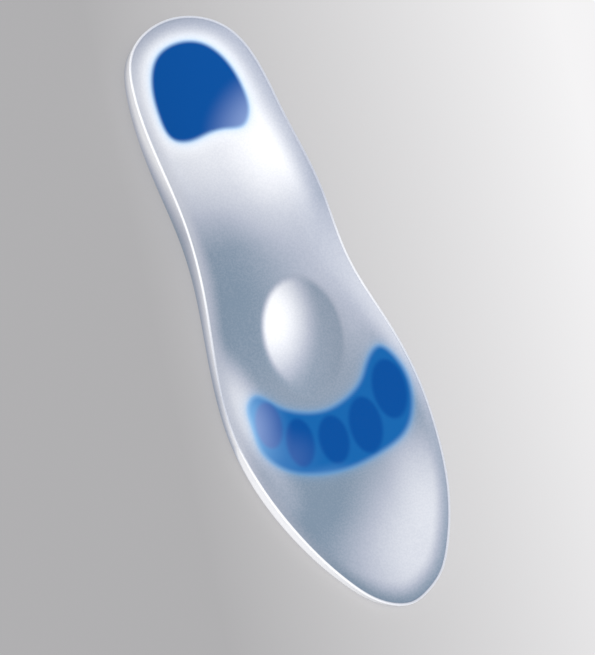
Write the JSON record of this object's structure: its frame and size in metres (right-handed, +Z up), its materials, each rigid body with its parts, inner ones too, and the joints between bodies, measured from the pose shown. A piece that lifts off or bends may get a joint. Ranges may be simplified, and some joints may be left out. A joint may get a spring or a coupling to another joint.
{
  "type": "silicone insole",
  "caption": "Full-length translucent silicone insole for a right foot, dished on top, with a heel pad, a metatarsal dome and a soft crescent pad set into its flat sole.",
  "frame": {"origin": "middle of the box that the insole fills, on the flat sole", "axes": "+Y towards the toes, +X towards the little toe's side, +Z up from the sole"},
  "size_m": [0.0914, 0.27, 0.012],
  "materials": {
    "clear_silicone": "satin, milky and translucent",
    "deep_blue_silicone": "satin",
    "mid_blue_silicone": "satin"
  },
  "bodies": {
    "root": {"insole_body": "clear_silicone", "heel_pad": "deep_blue_silicone", "forefoot_pad": "mid_blue_silicone", "metatarsal_pad_1": "deep_blue_silicone", "metatarsal_pad_2": "deep_blue_silicone", "metatarsal_pad_3": "deep_blue_silicone", "metatarsal_pad_4": "deep_blue_silicone", "metatarsal_pad_5": "deep_blue_silicone"}
  },
  "joints": []
}
